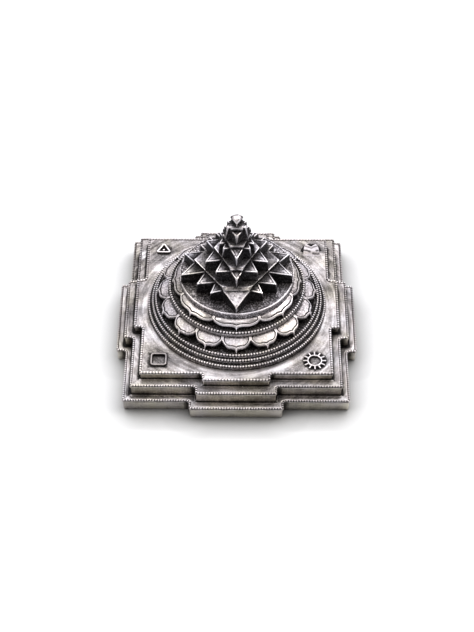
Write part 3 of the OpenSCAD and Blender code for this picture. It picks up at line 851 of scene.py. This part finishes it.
def bindu_sheet(triangle):
    """The centre triangle, whose edge is the sum of its three sides' ninth powers, with steep walls and a
    dome. At the angle k the dome's rings shrink by cos(k) to the power 0.6, rise by sin(k) and turn from the
    triangle into a circle. The dome carries painted shade at its back and sides, and the front arris of its
    wall a painted highlight."""
    base = (MIDDLE_LINE - triangle[2]) * PART
    tip = (MIDDLE_LINE - triangle[0]) * PART
    half = half_at(triangle, triangle[2]) * PART
    middle = np.array([0, (2 * base + tip) / 3])
    corner = np.array([(0, tip), (half, base), (-half, base)])
    angle = np.linspace(0, 2 * math.pi, 72, endpoint=False)
    way = ring_path(1, len(angle))
    side = unit(np.roll(corner, -1, axis=0) - corner)
    normal = np.stack([side[:, 1], -side[:, 0]], axis=-1)
    reach = ((corner - middle) * normal).sum(-1)
    facing = np.maximum(way @ normal.T, 1e-3)
    edge = ((facing / reach) ** 9).sum(axis=1) ** (-1 / 9)
    foot = FLOOR_Z + 4 * STAR_H
    k = np.linspace(0.12, math.pi / 2, 10)
    share = np.concatenate([[0.0, 0.94, 0.97, 1.0], 1.18 * np.cos(k) ** 0.6])
    rise = np.concatenate([[0.0, 0.0, 0.25, 0.4], 0.44 + 0.44 * np.sin(k)]) * BINDU_H
    tone = np.concatenate([[1.0, 1.0, 1.0, 0.85], 0.16 - 0.1 * np.sin(k)])[:, None]
    circle = np.concatenate([np.zeros(4), np.sin(k) ** 1.5])[:, None]
    r = share[:, None] * (edge + circle * (1.12 * edge.mean() - edge))
    xy = middle + way * r[..., None]
    cap = (rise > 0.42 * BINDU_H)[:, None]
    arris = fade(np.abs(angle - 1.5 * math.pi), 0.05, 0.2)
    back = xy[..., 1] - middle[1]
    sides = gain(np.abs(xy[..., 0]), 0.8, 1.6)
    facing_shade = 0.4 * gain(back, -0.3, 1.0) + 0.4 * gain(back, 0.1, 0.8) + 0.25 * sides
    return sheet(raised(xy, (foot + rise)[:, None]), tone + cap * facing_shade - (1 - cap) * 0.7 * arris)


# Corner emblems


def rounded_plan(corners, r, arc=6):
    """A closed plan with each corner cut back by r and rounded on a curve between its two sides."""
    corners = np.asarray(corners, float)
    last = unit(np.roll(corners, 1, axis=0) - corners)
    ahead = unit(np.roll(corners, -1, axis=0) - corners)
    u = np.linspace(0, 1, arc)[:, None]
    curve = corners[:, None] + r * (last[:, None] * (1 - u) ** 2 + ahead[:, None] * u ** 2)
    return curve.reshape(-1, 2)


def raised_line(path, width, height, z, tone, closed=True):
    """A raised wire: a flat-footed half-round section carried along a path, wider at its foot, and drawn in
    to a point at the ends of an open path. The tone darkens the whole line. Its flanks darken to the foot
    with oxide and painted shade."""
    section = np.array([
        (0.0, 0.0, 1.0), (-0.52, 0.0, 1.0), (-0.5, 0.45, 0.7), (-0.4, 0.85, 0.12), (-0.2, 1.0, 0.0),
        (0.2, 1.0, 0.0), (0.4, 0.85, 0.12), (0.5, 0.45, 0.7), (0.52, 0.0, 1.0),
    ])
    if closed:
        tangent = unit(np.roll(path, -1, axis=0) - np.roll(path, 1, axis=0))
    else:
        tangent = unit(np.gradient(path, axis=0))
        path = np.concatenate([path[:1], path, path[-1:]])
        tangent = np.concatenate([tangent[:1], tangent, tangent[-1:]])
    normal = np.stack([-tangent[:, 1], tangent[:, 0]], axis=-1)
    scale = np.ones((len(path), 1))
    if not closed:
        scale[[0, -1]] = 0
    xy = path[:, None] + normal[:, None] * (section[:, 0] * width * scale)[..., None]
    return sheet(raised(xy, z + height * section[:, 1] * scale), section[:, 2] + tone, close_rows=closed)


def dome_dot(centre, r, height, z):
    """A small round-topped dot: rings of r cos(u) at the height of sin(u), darker to its foot with oxide and
    painted shade.
    """
    u = np.linspace(0, math.pi / 2, 5)
    profile = np.concatenate([[(0.0, 0.0)], np.stack([r * np.cos(u), height * np.sin(u)], axis=-1)])
    points, dark, *closed = turned(profile, 16, np.array([1.0, 1.0, 0.5, 0.1, 0.0, 0.0]), close_rows=False)
    return sheet(points + np.array([centre[0], centre[1], z]), dark, *closed)


def square_emblem_sheets(z):
    """A square of raised line with rounded corners."""
    w = SQUARE_W / 2 - 0.3
    centre = np.array([0.35 - EMBLEM_AT, -EMBLEM_AT])
    plan = rounded_plan([(-w, -w), (w, -w), (w, w), (-w, w)], 0.95)
    return [raised_line(plan + centre, 0.58, EMBLEM_H, z, tone=0.32)]


def triangle_emblem_sheets(z):
    """A triangle of raised line that points to the back, with a dot in it."""
    plan = rounded_plan([(-2.2, -1.85), (2.2, -1.85), (0, 2.0)], 0.65)
    centre = np.array([-EMBLEM_AT - 0.1, EMBLEM_AT + 0.4])
    line = raised_line(plan + centre, 0.64, EMBLEM_H, z, tone=0.06)
    return [line, dome_dot(centre + np.array([0, -0.6]), 0.45, 0.5, z)]


def sun_emblem_sheets(z):
    """A ring of raised line with twelve short rays."""
    centre = np.array([EMBLEM_AT - 0.15, -EMBLEM_AT - 0.3])
    sheets = [raised_line(ring_path(2.1, 48) + centre, 0.54, EMBLEM_H, z, tone=0.08)]
    for k in range(12):
        way = np.array([math.sin(k * math.pi / 6), -math.cos(k * math.pi / 6)])
        ray = way * np.linspace(2.2, 3.5, 5)[:, None]
        sheets.append(raised_line(ray + centre, 0.56, 0.62, z, closed=False, tone=0.12))
    return sheets


def shrunk_plate(outline, middle, shrink, count):
    """Rings of a closed plan with evenly spaced points, each drawn in to a share of its way to the middle."""
    edge = along_path(outline, np.linspace(0, path_length(outline), count, endpoint=False))
    return middle + (edge - middle) * np.asarray(shrink)[:, None, None]


def crescent_emblem_sheets(z):
    """A two-lobed plate with a notch to the back: its outline shrinks towards a middle, its top sinks into
    soft cut lines, and towards the front it runs out into the plate. A thin black ground of painted shadow
    fills its notch and flanks."""
    middle = np.array([0.1, -0.2])
    outline = rounded_plan(
        [(-2.6, -2.4), (3.0, -2.4), (2.7, 1.1), (1.85, 2.75), (0.15, 1.2), (-1.55, 2.75), (-2.25, 1.2)], 0.35
    )
    shrink = np.concatenate([[0.0, 1.0, 0.99, 0.97], np.linspace(0.93, 0.0, 22)])
    xy = shrunk_plate(outline, middle, shrink, 96)
    rise = np.concatenate([[0.0, 0.0, 0.4, 0.62], np.full(22, EMBLEM_H)])
    tone = np.concatenate([[1.0, 1.0, 0.85, 0.5], np.full(22, 0.25)])
    cuts = (
        (0.3, [(-1.6, 1.4), (-0.8, 1.05), (0.15, 0.5), (1.1, 1.05), (1.9, 1.4)]),
        (0.5, [(-2.2, -0.5), (-1.2, -0.6), (-0.3, -1.0)]),
        (0.4, [(0.75, -1.6), (1.8, -1.75), (2.6, -1.7)]),
        (0.5, [(1.85, -0.65), (2.3, -0.6)]),
    )
    cut = np.zeros(xy.shape[:-1])
    for depth, line in cuts:
        line = np.array(line)
        cut = np.maximum(cut, depth * fade(distance_to_sides(xy, line[:-1], line[1:]), 0.1, 0.5))
    worn = fade(xy[..., 1], -2.3, -0.6)
    height = rise[:, None] * (1 - 0.97 * worn) - 0.3 * cut * (shrink < 0.95)[:, None] * (1 - worn)
    dark = tone[:, None] * (1 - worn) + 0.3 * worn + cut
    lobes = raised(xy, height)
    around = [
        (-3.5, -0.5), (-1.0, -1.0), (1.4, -1.0), (3.5, -0.2),
        (3.1, 1.7), (1.6, 3.2), (-1.3, 3.2), (-2.6, 1.7),
    ]
    ground = shrunk_plate(rounded_plan(around, 0.3), middle, [0.0, 1.0, 0.96, 0.0], 48)
    base = raised(ground, np.array([0.0, 0.0, 0.1, 0.1])[:, None])
    place = np.array([EMBLEM_AT, EMBLEM_AT, z])
    return [sheet(lobes + place, dark), sheet(base + place, 1.25)]


# Silver finishes


def feed(tree, socket, value):
    """Sets a socket to a constant, or links it to another socket."""
    if isinstance(value, bpy.types.NodeSocket):
        tree.links.new(value, socket)
    else:
        socket.default_value = value


def add_node(tree, kind, **inputs):
    """A shader node with its inputs fed by name, where _ stands for a space."""
    node = tree.nodes.new("ShaderNode" + kind)
    for name, value in inputs.items():
        feed(tree, node.inputs[name.replace("_", " ")], value)
    return node


def operate(tree, kind, operation, *values):
    """A maths or vector maths node with its inputs fed in order."""
    node = tree.nodes.new("ShaderNode" + kind)
    node.operation = operation
    for socket, value in zip(node.inputs, values):
        feed(tree, socket, value)
    return node


def ramp_colour(tree, value, first, *between, last):
    """The colour of a ramp at a value, from stops of position and colour."""
    ramp = add_node(tree, "ValToRGB", Fac=value)
    elements = ramp.color_ramp.elements
    for element, (position, colour) in zip(list(elements), (first, last)):
        element.position = position
        element.color = (*colour, 1)
    for position, colour in between:
        elements.new(position).color = (*colour, 1)
    return ramp.outputs["Color"]


def silver(name, bright, tarnish, gloss, blotch, grain, streak=0, hatch=0, pits=0, swirl=0, warm=-0.08):
    """Oxidised silver: the point attribute of oxide with painted light and shade, and blotches of noise,
    choose between bright, tarnished and black silver; a slow noise tints it from lilac over rose to cream,
    the walls more;
    grain roughs it up. Streaks run from left to right, hatching runs up the walls, pits are black, and swirls
    of rubbing run round the middle."""
    material = bpy.data.materials.new(name)
    material.use_nodes = True
    tree = material.node_tree
    place = add_node(tree, "TexCoord").outputs["Object"]
    attribute = add_node(tree, "Attribute")
    attribute.attribute_name = "patina_and_painted_light"
    patina_and_painted_light = attribute.outputs["Fac"]

    def noise(scale, detail, stretch=(1, 1, 1), roughness=0.55):
        vector = add_node(tree, "Mapping", Vector=place, Scale=stretch).outputs["Vector"]
        texture = add_node(tree, "TexNoise", Vector=vector, Scale=scale, Detail=detail, Roughness=roughness)
        return texture.outputs["Fac"]

    def maths(operation, a, b):
        return operate(tree, "Math", operation, a, b).outputs[0]

    def swing(value, share):
        return maths("MULTIPLY", maths("SUBTRACT", value, 0.5), share)

    def spread(value, low, high, to_low, to_high):
        node = add_node(tree, "MapRange", Value=value, From_Min=low, From_Max=high)
        feed(tree, node.inputs["To Min"], to_low)
        feed(tree, node.inputs["To Max"], to_high)
        return node.outputs["Result"]

    normal = add_node(tree, "NewGeometry").outputs["Normal"]
    upright = add_node(tree, "SeparateXYZ", Vector=normal).outputs["Z"]
    level = maths("ABSOLUTE", upright, 0.0)
    wall = maths("SUBTRACT", 1.0, level)
    clouds = maths("ADD", maths("MULTIPLY", noise(80, 3), 0.55), maths("MULTIPLY", noise(300, 4), 0.45))
    specks = noise(1900, 2, roughness=0.7)
    flecks = spread(specks, 0.44, 0.66, 0.3, -0.7)
    depth = maths("MULTIPLY", maths("ADD", patina_and_painted_light, 0.2), grain)
    dark = maths("ADD", patina_and_painted_light, swing(clouds, blotch))
    dark = maths("ADD", dark, maths("MULTIPLY", flecks, depth))
    if streak:
        dark = maths("ADD", dark, swing(noise(420, 3, (0.35, 4.0, 2.0)), streak))
    if swirl:
        flat = operate(tree, "VectorMath", "MULTIPLY", place, (1, 1, 0)).outputs["Vector"]
        reach = operate(tree, "VectorMath", "LENGTH", flat).outputs["Value"]
        around = operate(tree, "VectorMath", "MULTIPLY_ADD", place, (0.16, 0.16, 0), reach).outputs["Vector"]
        # Swirls of rubbing that show on the level faces.
        rub_and_sheen = add_node(tree, "TexNoise", Vector=around, Scale=420, Detail=3).outputs["Fac"]
        dark = maths("ADD", dark, maths("MULTIPLY", swing(rub_and_sheen, swirl), level))
    if hatch:
        dark = maths("ADD", dark, swing(noise(900, 2, (2.5, 2.5, 0.12)), hatch))
    if pits:
        dark = maths("ADD", dark, spread(noise(1100, 2), 0.58, 0.7, 0.0, pits))
    deeper = ((0.28, 1.0), (0.55, 0.3), (0.8, 0.095))
    tarnished = [(at, tuple(share * c for c in tarnish)) for at, share in deeper]
    black = (0.011, 0.0102, 0.011)
    metal = ramp_colour(tree, maths("MULTIPLY", dark, 0.8), (0.0, bright), *tarnished, last=(1.0, black))
    hue = maths("ADD", noise(110, 3), maths("MULTIPLY", wall, warm))
    lilac = (0.97, 0.955, 1.0)
    rose = (1.0, 0.955, 0.965)
    cream = (1.0, 0.96, 0.84)
    tint = ramp_colour(tree, hue, (0.34, lilac), (0.5, rose), last=(0.76, cream))
    mix = tree.nodes.new("ShaderNodeMix")
    mix.data_type = "RGBA"
    mix.blend_type = "MULTIPLY"
    mix.inputs["Factor"].default_value = 1.0
    tree.links.new(metal, mix.inputs["A"])
    tree.links.new(tint, mix.inputs["B"])
    height = maths("ADD", noise(1500, 3), maths("MULTIPLY", specks, 0.5))
    bump = add_node(tree, "Bump", Strength=0.35, Distance=0.00006, Height=height)
    shader = tree.nodes["Principled BSDF"]
    feed(tree, shader.inputs["Metallic"], 1.0)
    feed(tree, shader.inputs["Base Color"], mix.outputs["Result"])
    feed(tree, shader.inputs["Roughness"], spread(dark, -0.1, 0.9, gloss, 0.62))
    feed(tree, shader.inputs["Normal"], bump.outputs["Normal"])
    return material


plate_silver = silver(
    "plate silver", (0.68, 0.67, 0.665), (0.29, 0.28, 0.275),
    gloss=0.28, blotch=1.5, grain=0.32, streak=0.15, hatch=0.24, swirl=1.2, warm=0.2,
)
bead_silver = silver(
    "bead silver", (0.88, 0.87, 0.88), (0.36, 0.345, 0.35), gloss=0.22, blotch=0.3, grain=0.2
)
step_silver = silver(
    "blackened step silver", (0.70, 0.68, 0.68), (0.26, 0.25, 0.25),
    gloss=0.32, blotch=0.4, grain=0.6, streak=0.1,
)
dish_silver = silver(
    "blackened dish silver", (0.80, 0.785, 0.795), (0.30, 0.288, 0.298), gloss=0.26, blotch=0.5, grain=0.85
)
petal_silver = silver(
    "petal silver", (0.84, 0.83, 0.84), (0.34, 0.325, 0.335), gloss=0.26, blotch=0.55, grain=0.55
)
star_silver = silver(
    "star silver", (0.86, 0.85, 0.86), (0.305, 0.298, 0.315), gloss=0.22, blotch=0.4, grain=0.34, pits=0.4
)

# Tiers and their wires

TIER_NAMES = ("lower_tier", "middle_tier", "upper_tier")
TIER_PITCH = (0.814, 0.834, 0.958)
TIER_GAP = (0.62, 0.58, 0.42)
TIER_SPACING = (0.8, 0.8, 0.4)
BEAD_SHARE = 0.46
tread_lands = np.concatenate([np.linspace(0, 0.46, 18), [0.7, 1.0]])
plate_lands = np.concatenate([np.linspace(0, 0.62, 46), [0.8, 1.0]])
for index, tier_name in enumerate(TIER_NAMES):
    casting = [tier_sheet(index, TIER_SPACING[index], plate_lands if index == 2 else tread_lands)]
    if index < 2:
        casting += solder_specks(index)
    silver_piece(tier_name + "_casting", tier_name, plate_silver, casting)
    wire_path = tier_outline(index, WIRE_INSET, spacing=0.4, convex_r=0.5, concave_r=1.3)[0]
    pitch = TIER_PITCH[index]
    wire_z = TIER_TOP[index] - WIRE_SINK + WIRE_R
    beads = round(path_length(wire_path) / pitch)
    wire = beaded_wire(wire_path, wire_z, beads, TIER_GAP[index], facing_shade=0.24, bead_r=BEAD_SHARE * pitch)
    silver_piece(tier_name + "_beads", tier_name + "_wire", bead_silver, [wire], crease=60)

# Round steps, collar and their wires: name, radius, height, foot, beads and tone of the riser

STEP_NAMES = ("lower_step", "middle_step", "upper_step")
STEP_BEADS = (204, 187, 174)
rings = [(STEP_NAMES[k], STEP_R[k], STEP_H, STEP_FOOT[k], STEP_BEADS[k], 0.48) for k in range(3)]
rings.append(("collar", COLLAR_R, COLLAR_H, COLLAR_Z, 138, 0.34))
for ring_name, ring_r, ring_h, ring_z, beads, riser in rings:
    ring = trimmed_ring(ring_r, ring_h, ring_z, riser)
    silver_piece(ring_name + "_ring", ring_name, step_silver, [ring])
    wire_z = ring_z + ring_h - WIRE_SINK + WIRE_R
    wire = beaded_wire(ring_path(ring_r - WIRE_INSET), wire_z, beads, gap=0.75, facing_shade=0.16, bead_r=0.42)
    silver_piece(ring_name + "_beads", ring_name + "_wire", bead_silver, [wire], crease=60)

# Lotus rings and dish

outer_petals = petal_ring(
    16, notch_r=22.4, tip_r=25.05, point=0.55, tip_h=2.1, seat_r=21.4, seat_h=OUTER_LOTUS_H,
    z=OUTER_LOTUS_Z, rim=0.58, keel=0.5, dusk=1.25,
)
silver_piece("sixteen_petals", "sixteen_petal_lotus", petal_silver, outer_petals)
inner_petals = petal_ring(
    8, notch_r=18.75, tip_r=20.15, point=0.6, tip_h=1.5, seat_r=17.9, seat_h=INNER_LOTUS_H,
    z=INNER_LOTUS_Z, rim=0.56, keel=0.6, dusk=1.0,
)
silver_piece("eight_petals", "eight_petal_lotus", petal_silver, inner_petals)
silver_piece("dish_and_rim", "star_dish", dish_silver, [dish_sheet()])

# Stars and bindu

STAR_NAMES = ("fourteen_point_star", "outer_ten_point_star", "inner_ten_point_star", "eight_point_star")
stars, centre_triangle = star_triangles()
for level, star_name in enumerate(STAR_NAMES):
    sheets = star_sheets(stars[level], level)
    silver_piece(star_name + "_points", star_name, star_silver, sheets, crease=25)
silver_piece("bindu_dome", "bindu", petal_silver, [bindu_sheet(centre_triangle)])

# Emblems

for emblem_name, emblem_sheets in (
    ("square_emblem", square_emblem_sheets(PLATE_Z)),
    ("triangle_emblem", triangle_emblem_sheets(PLATE_Z)),
    ("sun_emblem", sun_emblem_sheets(PLATE_Z)),
    ("crescent_emblem", crescent_emblem_sheets(PLATE_Z)),
):
    silver_piece(emblem_name + "_lines", emblem_name, bead_silver, emblem_sheets, crease=50)

# Floor, light and camera

LIGHT_AIM = (0, 0, 0.02)
# The camera as fitted to the photograph: degrees, millimetres, and pixels of its frame's height
ELEVATION = 47.02
YAW = 0.40
TARGET_RIGHT = 0.05
TARGET_UP = 3.54
CAMERA_AWAY = 458.2
FOCAL_PIXELS = 1410.6
FRAME_PIXELS = 632
SENSOR = 36


def studio_floor():
    """A wide flat floor just below the foot, in matt white. It darkens near the part, most in front of it:
    the occlusion is taken about a normal that leans to the back."""
    mesh = bpy.data.meshes.new("studio_floor")
    r = 3.0
    z = -0.00005
    mesh.from_pydata([(-r, -r, z), (r, -r, z), (r, r, z), (-r, r, z)], [], [(0, 1, 2, 3)])
    white = bpy.data.materials.new("white floor")
    white.use_nodes = True
    tree = white.node_tree
    lean = add_node(tree, "CombineXYZ", X=-0.08, Y=0.6, Z=0.8).outputs["Vector"]
    contact = add_node(tree, "AmbientOcclusion", Color=(0.826, 0.84, 0.863, 1), Distance=0.009, Normal=lean)
    deepened = add_node(tree, "Gamma", Color=contact.outputs["Color"], Gamma=1.2)
    shader = tree.nodes["Principled BSDF"]
    feed(tree, shader.inputs["Base Color"], deepened.outputs["Color"])
    feed(tree, shader.inputs["Roughness"], 0.9)
    feed(tree, shader.inputs["Specular IOR Level"], 0.1)
    mesh.materials.append(white)
    floor = bpy.data.objects.new("studio_floor", mesh)
    bpy.context.collection.objects.link(floor)


def soft_box(name, place, size, power):
    """A rectangular area light that faces the part, in a warm white."""
    light = bpy.data.lights.new(name, "AREA")
    light.shape = "RECTANGLE"
    light.size = size[0]
    light.size_y = size[1]
    light.energy = power
    light.color = (1.0, 0.955, 0.89)
    obj = bpy.data.objects.new(name, light)
    obj.location = place
    obj.rotation_euler = (Vector(LIGHT_AIM) - Vector(place)).to_track_quat("-Z", "Y").to_euler()
    bpy.context.collection.objects.link(obj)


def studio_world():
    """A pale room lit from above and behind: the cosine of the angle to that side runs through a ramp."""
    world = bpy.data.worlds.new("studio")
    bpy.context.scene.world = world
    world.use_nodes = True
    tree = world.node_tree
    way = add_node(tree, "TexCoord").outputs["Generated"]
    bright_side = Vector((0.04, 0.83, 0.56)).normalized()
    cosine = operate(tree, "VectorMath", "DOT_PRODUCT", way, bright_side).outputs["Value"]
    room = ramp_colour(tree, cosine, (0.25, (0.08, 0.077, 0.072)), last=(1.0, (0.985, 0.98, 1.0)))
    feed(tree, tree.nodes["Background"].inputs["Color"], room)
    feed(tree, tree.nodes["Background"].inputs["Strength"], 2.35)


def photo_camera():
    """The camera of the photograph, in front of the part and above it."""
    elevation = math.radians(ELEVATION)
    yaw = math.radians(YAW)
    flat = math.cos(elevation)
    back = Vector((math.sin(yaw) * flat, -math.cos(yaw) * flat, math.sin(elevation)))
    right = Vector((math.cos(yaw), math.sin(yaw), 0))
    up = back.cross(right)
    target = (right * TARGET_RIGHT + up * TARGET_UP) * MM
    camera = bpy.data.cameras.new("photo_camera")
    camera.lens = FOCAL_PIXELS / FRAME_PIXELS * SENSOR
    camera.sensor_width = SENSOR
    camera.clip_start = 0.01
    camera.clip_end = 20
    obj = bpy.data.objects.new("photo_camera", camera)
    turn = Matrix((right, up, back)).transposed().to_4x4()
    obj.matrix_world = Matrix.Translation(target + back * CAMERA_AWAY * MM) @ turn
    bpy.context.collection.objects.link(obj)
    bpy.context.scene.camera = obj


studio_floor()
studio_world()
soft_box("right box", place=(0.45, 0.1, 0.5), size=(0.3, 0.3), power=1.6)
soft_box("left box", place=(-0.5, -0.1, 0.5), size=(0.3, 0.3), power=1.5)
soft_box("front box", place=(0.06, -0.55, 0.4), size=(0.3, 0.12), power=0.45)
soft_box("overhead box", place=(0.0, -0.17, 0.64), size=(0.4, 0.2), power=0.5)
photo_camera()
bpy.context.scene.view_settings.view_transform = "Standard"
